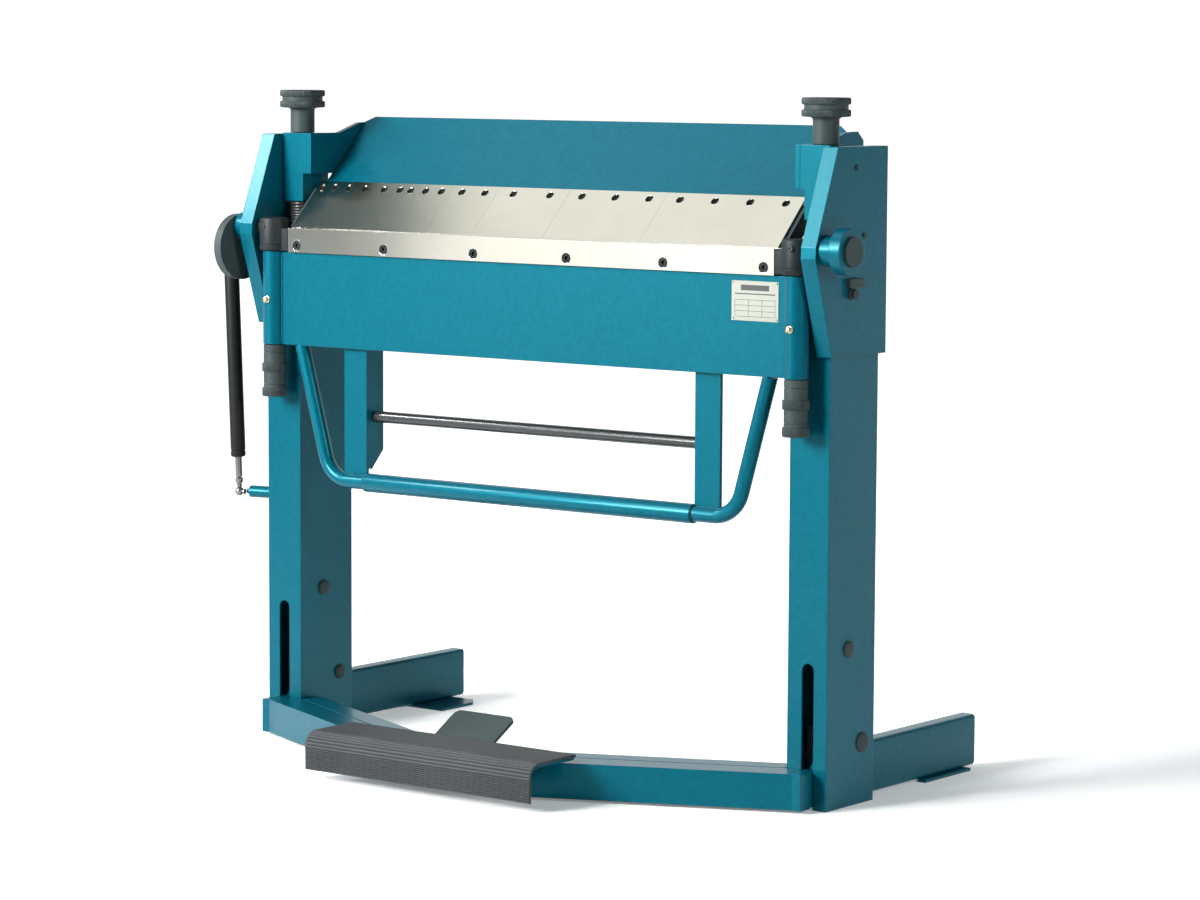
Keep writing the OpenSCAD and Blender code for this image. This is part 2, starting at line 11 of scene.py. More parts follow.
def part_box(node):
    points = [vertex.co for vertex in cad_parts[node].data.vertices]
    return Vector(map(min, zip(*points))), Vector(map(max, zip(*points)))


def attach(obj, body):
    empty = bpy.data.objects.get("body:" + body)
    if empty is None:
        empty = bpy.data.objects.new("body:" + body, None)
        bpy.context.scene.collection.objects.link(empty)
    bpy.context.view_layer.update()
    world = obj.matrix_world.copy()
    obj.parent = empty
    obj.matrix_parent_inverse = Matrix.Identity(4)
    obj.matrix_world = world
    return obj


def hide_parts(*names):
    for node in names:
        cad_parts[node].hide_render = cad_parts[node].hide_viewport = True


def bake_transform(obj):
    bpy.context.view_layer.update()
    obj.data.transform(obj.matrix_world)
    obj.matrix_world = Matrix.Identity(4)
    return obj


MM = 0.001
SAME_POINT = 1e-6
SIDES = (("left", -1), ("right", 1))
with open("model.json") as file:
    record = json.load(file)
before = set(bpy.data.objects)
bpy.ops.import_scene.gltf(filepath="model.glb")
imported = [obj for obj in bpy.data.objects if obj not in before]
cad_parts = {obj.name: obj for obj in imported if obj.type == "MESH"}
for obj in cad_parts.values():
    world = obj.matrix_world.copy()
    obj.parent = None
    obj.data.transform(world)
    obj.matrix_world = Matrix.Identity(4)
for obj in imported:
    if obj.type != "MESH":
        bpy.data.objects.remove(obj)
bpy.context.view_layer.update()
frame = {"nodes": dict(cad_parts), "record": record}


# ---------------------------------------------------------------- materials

BUMP_DEPTH = 0.2 * MM
TONE_STOPS = (0.3, 0.7)


def new_node(tree, kind, **inputs):
    """A shader node with some of its inputs set."""
    node = tree.nodes.new(kind)
    for key, value in inputs.items():
        node.inputs[key.replace("_", " ")].default_value = value
    return node


def surface(name, dark, light, rough, metallic=0.0, coat=0.0, coat_rough=0.08, patch=6.0,
            grain=(400.0, 400.0, 400.0), bump=0.05, edge=0.0015, rough_span=0.06, specular=0.5,
            tint=(1, 1, 1)):
    """A procedural finish: two tones in soft patches, a grain that bumps it, and eased edges."""
    mat = bpy.data.materials.new(name)
    mat.use_nodes = True
    tree = mat.node_tree
    shader = tree.nodes["Principled BSDF"]
    shader.inputs["Metallic"].default_value = metallic
    shader.inputs["Coat Weight"].default_value = coat
    shader.inputs["Coat Roughness"].default_value = coat_rough
    shader.inputs["Specular IOR Level"].default_value = specular
    shader.inputs["Specular Tint"].default_value = (*tint, 1)
    link = tree.links.new
    where = tree.nodes.new("ShaderNodeTexCoord")
    tones = new_node(tree, "ShaderNodeTexNoise", Scale=patch, Detail=4.0, Roughness=0.6)
    link(where.outputs["Object"], tones.inputs["Vector"])
    ramp = tree.nodes.new("ShaderNodeValToRGB")
    for stop, place, tone in zip(ramp.color_ramp.elements, TONE_STOPS, (dark, light)):
        stop.position, stop.color = place, (*tone, 1)
    link(tones.outputs["Fac"], ramp.inputs["Fac"])
    link(ramp.outputs["Color"], shader.inputs["Base Color"])
    stretch = tree.nodes.new("ShaderNodeMapping")
    stretch.inputs["Scale"].default_value = grain
    link(where.outputs["Object"], stretch.inputs["Vector"])
    fine = new_node(tree, "ShaderNodeTexNoise", Scale=1.0, Detail=3.0, Roughness=0.55)
    link(stretch.outputs["Vector"], fine.inputs["Vector"])
    span = tree.nodes.new("ShaderNodeMapRange")
    span.inputs["To Min"].default_value = rough - rough_span
    span.inputs["To Max"].default_value = rough + rough_span
    link(fine.outputs["Fac"], span.inputs["Value"])
    link(span.outputs["Result"], shader.inputs["Roughness"])
    raised = new_node(tree, "ShaderNodeBump", Strength=bump, Distance=BUMP_DEPTH)
    link(fine.outputs["Fac"], raised.inputs["Height"])
    if edge:
        eased = tree.nodes.new("ShaderNodeBevel")
        eased.samples = 4
        eased.inputs["Radius"].default_value = edge
        link(eased.outputs["Normal"], raised.inputs["Normal"])
        link(eased.outputs["Normal"], shader.inputs["Coat Normal"])
    link(raised.outputs["Normal"], shader.inputs["Normal"])
    return mat


TEAL = surface("teal_enamel", (0.0006, 0.054, 0.082), (0.0013, 0.072, 0.107), 0.34, patch=110.0,
               coat=0.12, coat_rough=0.14, grain=(230, 230, 230), bump=0.45, edge=0.0022,
               specular=0.5, tint=(0.0, 0.7, 0.85))
STEEL = surface("ground_steel", (0.60, 0.585, 0.52), (0.68, 0.665, 0.60), 0.15, metallic=1.0,
                grain=(30, 1400, 1400), bump=0.12, edge=0.0003, rough_span=0.04)
BLADE = surface("ground_blade", (0.62, 0.60, 0.54), (0.70, 0.68, 0.62), 0.12, metallic=1.0,
                grain=(1400, 30, 60), bump=0.08, edge=0.0003, rough_span=0.04)
BLACK = surface("black_oxide", (0.029, 0.040, 0.040), (0.044, 0.059, 0.059), 0.48,
                grain=(700, 700, 700), bump=0.15, edge=0.001, specular=0.14)
CAST = surface("cast_black", (0.008, 0.011, 0.012), (0.020, 0.025, 0.027), 0.45,
               grain=(260, 260, 260), bump=0.35, edge=0.0015, specular=0.12)
MATTE = surface("matte_black", (0.008, 0.009, 0.009), (0.013, 0.014, 0.014), 0.5, specular=0.1,
                grain=(500, 500, 500), bump=0.1, edge=0.0008)
GLOSS = surface("black_gloss", (0.012, 0.014, 0.015), (0.02, 0.022, 0.023), 0.22, coat=0.3,
                grain=(500, 500, 500), bump=0.05, edge=0.0008)
CHROME = surface("hard_chrome", (0.15, 0.16, 0.15), (0.24, 0.25, 0.24), 0.3, metallic=0.85,
                 grain=(900, 900, 30), bump=0.03, edge=0.0)
RUBBER = surface("dark_rubber", (0.028, 0.032, 0.034), (0.042, 0.047, 0.050), 0.6,
                 grain=(900, 900, 900), bump=0.35, edge=0.0, specular=0.35)
LABEL = surface("cream_print", (0.25, 0.262, 0.222), (0.28, 0.292, 0.248), 0.5,
                grain=(900, 900, 900), bump=0.05, edge=0.0003)
INK = surface("plate_ink", (0.012, 0.013, 0.013), (0.02, 0.021, 0.021), 0.5, edge=0.0)
BRASS = surface("plain_brass", (0.62, 0.50, 0.30), (0.72, 0.60, 0.38), 0.3, metallic=1.0,
                grain=(900, 900, 900), bump=0.05, edge=0.0005)
SPRING = surface("spring_steel", (0.03, 0.031, 0.032), (0.06, 0.06, 0.062), 0.3, metallic=0.3,
                 grain=(600, 600, 600), bump=0.1, edge=0.0)
# Near-black finish for painted shade in seams.
SHADOW = surface("inner_dark", (0.006, 0.007, 0.008), (0.01, 0.011, 0.012), 0.7, edge=0.0)

SLOT_FINISH = {"teal_paint": TEAL, "ground_steel": STEEL, "black_steel": BLACK, "black_rod": GLOSS,
               "chrome_rod": CHROME, "ribbed_rubber": RUBBER, "plate_print": LABEL, "brass": BRASS,
               "spring_steel": SPRING}
node_slot = {row["node"]: row["material_slot"] for row in frame["record"]["subparts"]}
node_body = {n: b for b, names in frame["record"]["behaviour"]["bodies"].items() for n in names}


def paint(obj, mat):
    """The finish becomes the only material of the object."""
    obj.data.materials.clear()
    obj.data.materials.append(mat)


for name, obj in frame["nodes"].items():
    paint(obj, SLOT_FINISH[node_slot[name]])
paint(frame["nodes"]["apron_blade"], BLADE)


# ---------------------------------------------------------------- mesh helpers

def mesh_piece(name, verts, faces, mat, body, slot, smooth=30.0):
    """A named mesh, placed as at rest. It rides on a body, unless that is None."""
    mesh = bpy.data.meshes.new(name)
    mesh.from_pydata([tuple(v) for v in verts], [], faces)
    bm = bmesh.new()
    bm.from_mesh(mesh)
    bmesh.ops.recalc_face_normals(bm, faces=bm.faces)
    bm.to_mesh(mesh)
    bm.free()
    mesh.update()
    obj = bpy.data.objects.new(name, mesh)
    bpy.context.scene.collection.objects.link(obj)
    mesh.shade_smooth()
    if smooth:
        mesh.set_sharp_from_angle(angle=math.radians(smooth))
    else:
        mesh.shade_flat()
    paint(obj, mat)
    if body:
        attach(obj, body)
    return obj


def stand_in(name, data, mat, node, smooth=30.0):
    """A piece shown in place of a CAD node, on the node's body."""
    piece = mesh_piece(name, *data, mat, node_body[node], node_slot[node], smooth)
    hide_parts(node)
    return piece


def frame_of(direction):
    """A matrix whose Z runs along the direction."""
    return Vector(direction).normalized().to_track_quat("Z", "Y").to_matrix()


def lathe_data(profile, origin, direction, sides, knurl=0.0):
    """Vertices and faces of a turned shape. The profile has (radius, height[, knurled]) rows."""
    turn = frame_of(direction)
    verts, faces = [], []
    for row in profile:
        depth = knurl if len(row) > 2 and row[2] else 0.0
        for i in range(sides):
            a = 2 * math.pi * i / sides
            r = row[0] - (depth if i % 2 else 0.0)
            spoke = Vector((r * math.cos(a), r * math.sin(a), row[1]))
            verts.append(Vector(origin) + turn @ spoke)
    for k in range(len(profile) - 1):
        for i in range(sides):
            j = (i + 1) % sides
            faces.append((k * sides + i, k * sides + j, (k + 1) * sides + j, (k + 1) * sides + i))
    faces.append(tuple(range(sides)))
    faces.append(tuple((len(profile) - 1) * sides + i for i in range(sides)))
    return verts, faces


def sweep_data(path, radius, sides):
    """Vertices and faces of a round tube along points, with closed ends. radius may be a list."""
    points = [Vector(p) for p in path]
    radii = radius if isinstance(radius, (list, tuple)) else [radius] * len(points)
    verts, faces = [], []
    previous = None
    for i, p in enumerate(points):
        ahead = points[min(i + 1, len(points) - 1)] - points[max(i - 1, 0)]
        ahead.normalize()
        if previous is None:
            side = ahead.orthogonal().normalized()
        else:
            side = (previous - ahead * previous.dot(ahead)).normalized()
        previous = side
        up = ahead.cross(side)
        for k in range(sides):
            a = 2 * math.pi * k / sides
            verts.append(p + (side * math.cos(a) + up * math.sin(a)) * radii[i])
    for i in range(len(points) - 1):
        for k in range(sides):
            m = (k + 1) % sides
            faces.append((i * sides + k, i * sides + m, (i + 1) * sides + m, (i + 1) * sides + k))
    faces.append(tuple(range(sides)))
    faces.append(tuple((len(points) - 1) * sides + k for k in range(sides)))
    return verts, faces


def prism_data(outline, x0, x1):
    """Vertices and faces of a closed (y, z) outline extruded along X."""
    n = len(outline)
    verts = [Vector((x0, y, z)) for y, z in outline] + [Vector((x1, y, z)) for y, z in outline]
    faces = [(i, (i + 1) % n, n + (i + 1) % n, n + i) for i in range(n)]
    faces += [tuple(range(n)), tuple(range(n, 2 * n))]
    return verts, faces


def rounded_bar(lo, hi, r, axis="Y"):
    """Vertices and faces of a bar with four rounded long edges."""
    other = {"X": (1, 2), "Y": (0, 2), "Z": (0, 1)}[axis]
    along = "XYZ".index(axis)
    corners = ((1, 1, 0), (-1, 1, 90), (-1, -1, 180), (1, -1, 270))
    steps = 6
    ring = []
    for su, sv, start in corners:
        cu = (hi[other[0]] if su > 0 else lo[other[0]]) - su * r
        cv = (hi[other[1]] if sv > 0 else lo[other[1]]) - sv * r
        for i in range(steps + 1):
            a = math.radians(start + 90 / steps * i)
            ring.append((cu + r * math.cos(a), cv + r * math.sin(a)))
    verts = []
    for end in (lo[along], hi[along]):
        for u, v in ring:
            p = [0, 0, 0]
            p[along], p[other[0]], p[other[1]] = end, u, v
            verts.append(Vector(p))
    n = len(ring)
    faces = [(i, (i + 1) % n, n + (i + 1) % n, n + i) for i in range(n)]
    return verts, faces + [tuple(range(n)), tuple(range(n, 2 * n))]


def bevelled(obj, width):
    """Real eased edges on a new piece."""
    mod = obj.modifiers.new("eased", "BEVEL")
    mod.width, mod.segments, mod.limit_method = width, 2, "ANGLE"
    mod.angle_limit = math.radians(30)


def joined(*parts):
    """Several (verts, faces) pairs as one."""
    verts, faces = [], []
    for v, f in parts:
        shift = len(verts)
        verts += v
        faces += [tuple(i + shift for i in face) for face in f]
    return verts, faces


def centre(node):
    """The middle of a node's box."""
    lo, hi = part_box(node)
    return (lo + hi) / 2


def islands(node):
    """(lowest corner, highest corner) of each separate solid of a CAD node, sorted by X."""
    bm = bmesh.new()
    bm.from_mesh(frame["nodes"][node].data)
    bmesh.ops.remove_doubles(bm, verts=bm.verts, dist=SAME_POINT)
    todo, found = set(bm.verts), []
    while todo:
        stack, group = [next(iter(todo))], []
        while stack:
            v = stack.pop()
            if v not in todo:
                continue
            todo.discard(v)
            group.append(v.co.copy())
            stack += [e.other_vert(v) for e in v.link_edges]
        found.append((Vector(map(min, zip(*group))), Vector(map(max, zip(*group)))))
    bm.free()
    return sorted(found, key=lambda pair: pair[0].x)


# ---------------------------------------------------------------- handwheels and beam adjusters

WHEEL_KNURL, WHEEL_SIDES = 0.9 * MM, 180
ADJUSTER_KNURL, ADJUSTER_SIDES = 0.7 * MM, 144


def wheel_profile(r, h):
    """A hub and a double knurled rim with a groove between."""
    hub_r, rim = 21 * MM, h - 30 * MM
    return [(10.2 * MM, 0), (hub_r - 1 * MM, 0), (hub_r, 1 * MM), (hub_r, rim - 4 * MM),
            (24 * MM, rim - 1 * MM), (r - 2 * MM, rim), (r - 0.5 * MM, rim + 1.2 * MM, 1),
            (r, rim + 2 * MM, 1), (r, rim + 9 * MM, 1), (r - 0.5 * MM, rim + 10 * MM, 1),
            (r - 2 * MM, rim + 11 * MM), (r - 4 * MM, rim + 11.4 * MM),
            (r - 4 * MM, h - 11.4 * MM), (r - 2 * MM, h - 11 * MM),
            (r - 0.5 * MM, h - 10 * MM, 1), (r, h - 9 * MM, 1), (r, h - 2 * MM, 1),
            (r - 0.5 * MM, h - 1.2 * MM, 1), (r - 2 * MM, h - 0.2 * MM), (r - 6 * MM, h),
            (r - 10 * MM, h), (r - 11 * MM, h - 1.2 * MM), (12 * MM, h - 1.2 * MM),
            (11 * MM, h - 0.4 * MM), (6 * MM, h - 0.4 * MM), (5 * MM, h - 3 * MM)]


def adjuster_profile(r, h):
    """A sleeve with two knurled rings and two scribed grooves."""
    bore_r, body_r = 14.2 * MM, r - 2.7 * MM
    groove_r = body_r - 0.8 * MM
    return [(bore_r, 0), (r - 1.5 * MM, 0), (r - 0.3 * MM, 1.2 * MM, 1), (r, 2 * MM, 1),
            (r, 13.5 * MM, 1), (r - 0.3 * MM, 14.3 * MM, 1), (r - 1.5 * MM, 15.2 * MM),
            (body_r, 15.6 * MM), (body_r, 20 * MM), (groove_r, 20.4 * MM), (groove_r, 21.6 * MM),
            (body_r, 22 * MM), (body_r, 42.4 * MM), (r - 1.5 * MM, 42.8 * MM),
            (r - 0.3 * MM, 43.6 * MM, 1), (r, 44.4 * MM, 1), (r, 56.4 * MM, 1),
            (r - 0.3 * MM, 57.2 * MM, 1), (r - 1.5 * MM, 58 * MM), (body_r, 58.4 * MM),
            (body_r, 76 * MM), (groove_r, 76.6 * MM), (groove_r, 77.6 * MM),
            (body_r, 78.2 * MM), (body_r, h - 1 * MM), (body_r - 1 * MM, h), (bore_r, h)]


for kind, profile_of, sides, knurl in (("handwheel", wheel_profile, WHEEL_SIDES, WHEEL_KNURL),
                                       ("adjuster", adjuster_profile, ADJUSTER_SIDES, ADJUSTER_KNURL)):
    for side_name, _ in SIDES:
        node = side_name + "_" + kind
        lo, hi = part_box(node)
        base = ((lo.x + hi.x) / 2, (lo.y + hi.y) / 2, lo.z)
        profile = profile_of((hi.x - lo.x) / 2, hi.z - lo.z)
        stand_in("knurled_" + node, lathe_data(profile, base, (0, 0, 1), sides, knurl), BLACK, node, 28)

# ---------------------------------------------------------------- clamping springs

WIRE_R = 2.6 * MM
COILS, STEPS_PER_COIL, CLOSED_ENDS = 7, 40, 0.018

for side_name, _ in SIDES:
    node = side_name + "_spring"
    lo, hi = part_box(node)
    cx, cy, r = (lo.x + hi.x) / 2, (lo.y + hi.y) / 2, (hi.x - lo.x) / 2 - WIRE_R
    count = COILS * STEPS_PER_COIL
    path = []
    for i in range(count + 1):
        t = i / count
        rise = t + CLOSED_ENDS * math.sin(2 * math.pi * t)
        a = 2 * math.pi * i / STEPS_PER_COIL
        path.append((cx + r * math.cos(a), cy + r * math.sin(a),
                     lo.z + WIRE_R + (hi.z - lo.z - 2 * WIRE_R) * rise))
    piece = mesh_piece("wound_" + node, *sweep_data(path, WIRE_R, 14), SPRING, None,
                       node_slot[node], 50)
    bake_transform(piece)
    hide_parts(node)

# ---------------------------------------------------------------- handle and its grip

HANDLE_R, HANDLE_LEAN, HANDLE_BEND_R = 12.5 * MM, math.radians(15.8), 55 * MM
BEND_STEPS = 16

lo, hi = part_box("handle_tube")
y, grip_z, top_z = (lo.y + hi.y) / 2, lo.z + HANDLE_R, hi.z
low_z = grip_z + HANDLE_BEND_R * (1 - math.sin(HANDLE_LEAN))
top_x = hi.x - HANDLE_R / math.cos(HANDLE_LEAN)
end_x = (top_x - (top_z - low_z) * math.tan(HANDLE_LEAN)
         - HANDLE_BEND_R * math.cos(HANDLE_LEAN))
half = [(top_x, y, top_z - 0.3 * MM)]
for i in range(BEND_STEPS + 1):
    a = -HANDLE_LEAN + (HANDLE_LEAN - math.pi / 2) * i / BEND_STEPS
    half.append((end_x + HANDLE_BEND_R * math.cos(a), y,
                 grip_z + HANDLE_BEND_R + HANDLE_BEND_R * math.sin(a)))
path = half + [(x * 0.999, y, grip_z) for x in (end_x * 0.7, end_x * 0.35, 0.0)]
path += [(-p[0], p[1], p[2]) for p in reversed(half)]
stand_in("bent_handle", sweep_data(path, HANDLE_R, 40), TEAL, "handle_tube", 60)

lo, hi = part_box("handle_sleeve")
mid = centre("handle_sleeve")
r, length = (hi.z - lo.z) / 2, hi.x - lo.x
profile = [(HANDLE_R, 0), (r - 1.2 * MM, 0), (r - 0.2 * MM, 0.8 * MM), (r, 2 * MM),
           (r, length - 2 * MM), (r - 0.2 * MM, length - 0.8 * MM), (r - 1.2 * MM, length),
           (HANDLE_R, length)]
stand_in("grip_sleeve", lathe_data(profile, (lo.x, mid.y, mid.z), (1, 0, 0), 64), TEAL,
         "handle_sleeve")
# Thin near-black rings at both ends of the grip sleeve: painted shade in the seams.
joint_in, joint_out, joint_wide = HANDLE_R - 1 * MM, HANDLE_R + 1.2 * MM, 1.6 * MM
profile = [(joint_in, 0), (joint_out, 0), (joint_out, joint_wide), (joint_in, joint_wide)]
for side_name, s in SIDES:
    start = hi.x if s > 0 else -(hi.x + joint_wide)
    ring = lathe_data(profile, (start, mid.y, mid.z), (1, 0, 0), 64)
    mesh_piece("grip_joint_" + side_name, *ring, SHADOW, "bending_beam", None)

# ---------------------------------------------------------------- rubber pedal cover

COVER_T, COVER_BEND_R = 5 * MM, 25 * MM
FRONT_RIBS, BEND_RIBS, TOP_RIBS = 11, 6, 13
RIB_DEPTH, TOP_RIB_DEPTH = 1.8 * MM, 0.7 * MM
RIB_STEPS, TOP_RIB_STEPS, INNER_BEND_STEPS = 10, 8, 12


def rib_wave(a):
    """0 on a rib and 1 in the groove between two, for a in ribs."""
    return 0.5 - 0.5 * math.cos(2 * math.pi * a)


lo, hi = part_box("pedal_cover")
y0, y1, z0, z1 = lo.y, hi.y, lo.z, hi.z
bend_y, bend_z = y0 + COVER_BEND_R, z1 - COVER_BEND_R
outline = []
front_low = z0 + 2 * MM
count = FRONT_RIBS * RIB_STEPS
for i in range(count + 1):
    groove = RIB_DEPTH * rib_wave(FRONT_RIBS * i / count) ** 3
    outline.append((y0 + groove, front_low + (bend_z - front_low) * i / count))
count = BEND_RIBS * RIB_STEPS
for i in range(1, count + 1):
    a = math.pi - (math.pi / 2) * i / count
    rr = COVER_BEND_R - RIB_DEPTH * rib_wave(BEND_RIBS * i / count) ** 3
    outline.append((bend_y + rr * math.cos(a), bend_z + rr * math.sin(a)))
count = TOP_RIBS * TOP_RIB_STEPS
for i in range(1, count + 1):
    yy = bend_y + (y1 - bend_y - 1.5 * MM) * i / count
    outline.append((yy, z1 - TOP_RIB_DEPTH * rib_wave(TOP_RIBS * i / count) ** 2))
outline += [(y1, z1 - 1.5 * MM), (y1, z1 - COVER_T), (bend_y, z1 - COVER_T)]
for i in range(1, INNER_BEND_STEPS):
    a = math.pi / 2 + (math.pi / 2) * i / INNER_BEND_STEPS
    rr = COVER_BEND_R - COVER_T
    outline.append((bend_y + rr * math.cos(a), bend_z + rr * math.sin(a)))
outline += [(y0 + COVER_T, bend_z), (y0 + COVER_T, z0), (y0 + 1.2 * MM, z0)]
stand_in("ribbed_cover", prism_data(outline, lo.x, hi.x), RUBBER, "pedal_cover", 35)

# ---------------------------------------------------------------- screws of the blades

FORWARD = Vector((0, -1, 0))
SCREW_SIDES = 48


def socket_screw(origin, direction, r, height, hex_r, deep):
    """A cap screw with a chamfered head and a hexagon socket; the direction points outwards."""
    turn = frame_of(direction)
    sides, chamfer = SCREW_SIDES, 0.8 * MM
    verts, faces = [], []
    rows = [(r, 0), (r, height - chamfer), (r - chamfer, height), ("hex", height),
            ("hex", height - deep)]
    for radius, h in rows:
        for i in range(sides):
            a = 2 * math.pi * i / sides
            rr = radius
            if radius == "hex":
                rr = hex_r * math.cos(math.pi / 6) / math.cos((a % (math.pi / 3)) - math.pi / 6)
            spoke = Vector((rr * math.cos(a), rr * math.sin(a), h))
            verts.append(Vector(origin) + turn @ spoke)
    for k in range(len(rows) - 1):
        for i in range(sides):
            j = (i + 1) % sides
            faces.append((k * sides + i, k * sides + j, (k + 1) * sides + j, (k + 1) * sides + i))
    faces += [tuple(range(sides)), tuple((len(rows) - 1) * sides + i for i in range(sides))]
    return verts, faces


def ring_data(origin, direction, r_in, r_out, painted_glow_ramp, sink):
    """A thin chamfer ring round a hole."""
    profile = [(r_in, -sink), (r_out, painted_glow_ramp), (r_out, -sink)]
    verts, faces = lathe_data(profile, origin, direction, SCREW_SIDES)
    return verts, faces[:-2]


blade_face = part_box("apron_blade")[0].y
screws, rings = [], []
for lo, hi in islands("blade_screws"):
    c = (lo + hi) / 2
    screws.append(socket_screw((c.x, hi.y, c.z), FORWARD, 8.0 * MM, hi.y - lo.y - 0.5 * MM,
                               4.0 * MM, 3.8 * MM))
    rings.append(ring_data((c.x, blade_face, c.z), FORWARD, 8.9 * MM, 10.2 * MM, 0.15 * MM,
                           0.6 * MM))
stand_in("blade_cap_screws", joined(*screws), CAST, "blade_screws")
mesh_piece("blade_counterbore_rims", *joined(*rings), BLADE, "bending_beam", "ground_steel")

out = Vector((0, -math.sqrt(0.5), math.sqrt(0.5)))
screws, rings = [], []
for lo, hi in islands("segment_screws"):
    c = (lo + hi) / 2
    screws.append(socket_screw(c - out * 3 * MM, out, 6.4 * MM, 5.0 * MM, 3.0 * MM, 3.4 * MM))
    rings.append(ring_data(c + out * 6 * MM, out, 6.9 * MM, 7.9 * MM, 0.12 * MM, 0.7 * MM))
stand_in("segment_cap_screws", joined(*screws), CAST, "segment_screws")
mesh_piece("segment_hole_rims", *joined(*rings), STEEL, "clamping_beam", "ground_steel")

# ---------------------------------------------------------------- round bolt heads on the posts

DOME_EDGE, DOME_STEPS = 1.2 * MM, 8
BOLT_HEAD = 5 * MM


def dome_data(origin, direction, r, height):
    """A low round head with a short upright edge."""
    profile = [(r, -0.2 * MM), (r, DOME_EDGE)]
    for i in range(1, DOME_STEPS + 1):
        a = math.pi / 2 * i / (DOME_STEPS + 0.5)
        profile.append((r * math.cos(a) ** 0.6, DOME_EDGE + (height - DOME_EDGE) * math.sin(a)))
    return lathe_data(profile, origin, direction, 48)


post_lo, post_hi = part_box("right_post")
for node, inner_step in (("rod_guide_bolts", 0.5 * MM), ("pedal_pivots", 3.8 * MM)):
    parts = []
    for lo, hi in islands(node):
        c = (lo + hi) / 2
        r = (hi.z - lo.z) / 2
        s = 1 if c.x > 0 else -1
        inner_face = (s * post_lo.x, c.y, c.z)
        parts.append(dome_data((s * post_hi.x, c.y, c.z), (s, 0, 0), r, BOLT_HEAD))
        parts.append(dome_data(inner_face, (-s, 0, 0), r - inner_step, BOLT_HEAD))
        shank = [(r * 0.5, 0), (r * 0.5, post_hi.x - post_lo.x)]
        parts.append(lathe_data(shank, inner_face, (s, 0, 0), 32))
    stand_in("domed_" + node, joined(*parts), BLACK, node)

# ---------------------------------------------------------------- end tubes and grease nipples

TUBE_SWELL, TUBE_EDGE = 2.4 * MM, 0.8 * MM

end_tubes = []
for side_name, _ in SIDES:
    node = side_name + "_end_tube"
    lo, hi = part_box(node)
    c = centre(node)
    r, tall = (hi.x - lo.x) / 2 + TUBE_SWELL, hi.z - lo.z
    end_tubes.append((c, r))
    profile = [(r - 3 * MM, 0), (r - TUBE_EDGE, 0), (r, TUBE_EDGE), (r, tall - TUBE_EDGE),
               (r - TUBE_EDGE, tall), (r - 3 * MM, tall)]
    stand_in("round_" + node, lathe_data(profile, (c.x, c.y, lo.z), (0, 0, 1), 72), TEAL, node)

nipple = [(6 * MM, -0.6 * MM), (6 * MM, 2.4 * MM), (4.2 * MM, 3.2 * MM), (3.6 * MM, 5.0 * MM),
          (5.0 * MM, 6.2 * MM), (5.0 * MM, 7.8 * MM), (3.2 * MM, 9.2 * MM), (1.2 * MM, 9.6 * MM)]
parts = []
for lo, hi in islands("grease_nipples"):
    c = (lo + hi) / 2
    parts.append(lathe_data(nipple, (c.x, hi.y, c.z), FORWARD, 24))
stand_in("turned_nipples", joined(*parts), BRASS, "grease_nipples")

# ---------------------------------------------------------------- data plate

PRINT_LIFT, PRINT_SINK, RULE_W = 0.08 * MM, 0.2 * MM, 0.7 * MM
MARGIN, GRID_LOW, GRID_HIGH = 0.07, 0.10, 0.52
RIVET_INSET = 3.2 * MM

lo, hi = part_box("rating_plate")
w, h, face = hi.x - lo.x, hi.z - lo.z, lo.y


def inked(x0, z0, x1, z1):
    """A flat printed bar on the plate."""
    yy = face - PRINT_LIFT
    v = [Vector((x0, yy, z0)), Vector((x1, yy, z0)), Vector((x1, yy, z1)), Vector((x0, yy, z1))]
    v += [p + Vector((0, PRINT_LIFT + PRINT_SINK, 0)) for p in v]
    return v, [(0, 1, 2, 3), (4, 5, 6, 7), (0, 1, 5, 4), (1, 2, 6, 5), (2, 3, 7, 6), (3, 0, 4, 7)]


rules = []
left_x, right_x = lo.x + MARGIN * w, hi.x - MARGIN * w
for part in (GRID_LOW, 0.24, 0.38, GRID_HIGH):
    z = lo.z + part * h
    rules.append(inked(left_x, z, right_x, z + RULE_W))
for part in (MARGIN, 0.36, 0.65, 0.93):
    x = lo.x + part * w
    rules.append(inked(x - RULE_W / 2, lo.z + GRID_LOW * h, x + RULE_W / 2,
                       lo.z + GRID_HIGH * h + RULE_W))
rules.append(inked(left_x, lo.z + 0.66 * h, right_x, lo.z + 0.69 * h))
rules.append(inked(lo.x + 0.2 * w, lo.z + 0.76 * h, hi.x - 0.2 * w, lo.z + 0.90 * h))
mesh_piece("plate_rules", *joined(*rules), INK, "bending_beam", "plate_print", 0)
rivets = []
for x in (lo.x + RIVET_INSET, hi.x - RIVET_INSET):
    for z in (lo.z + RIVET_INSET, hi.z - RIVET_INSET):
        rivets.append(dome_data((x, face, z), FORWARD, 1.5 * MM, 0.9 * MM))
mesh_piece("plate_rivets", *joined(*rivets), CHROME, "bending_beam", "chrome_rod")

# ---------------------------------------------------------------- rear feet and their caps

CAP_DEEP, FOOT_CORNER_R, CAP_CORNER_R, CAP_BEVEL = 3 * MM, 5 * MM, 6 * MM, 1.2 * MM

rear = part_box("foot_caps")[1].y
caps = []
for side_name, _ in SIDES:
    node = side_name + "_foot"
    lo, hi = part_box(node)
    bar = rounded_bar(lo, Vector((hi.x, rear - CAP_DEEP, hi.z)), FOOT_CORNER_R)
    stand_in("square_tube_" + node, bar, TEAL, node)
    caps.append(rounded_bar(Vector((lo.x, rear - CAP_DEEP, lo.z)), Vector((hi.x, rear, hi.z)),
                            CAP_CORNER_R))
bevelled(stand_in("rounded_foot_caps", joined(*caps), TEAL, "foot_caps"), CAP_BEVEL)

# ---------------------------------------------------------------- hinge arms with rounded shoulders

BARREL_R, SHAFT_R, PIN_R = 25 * MM, 14 * MM, 16 * MM

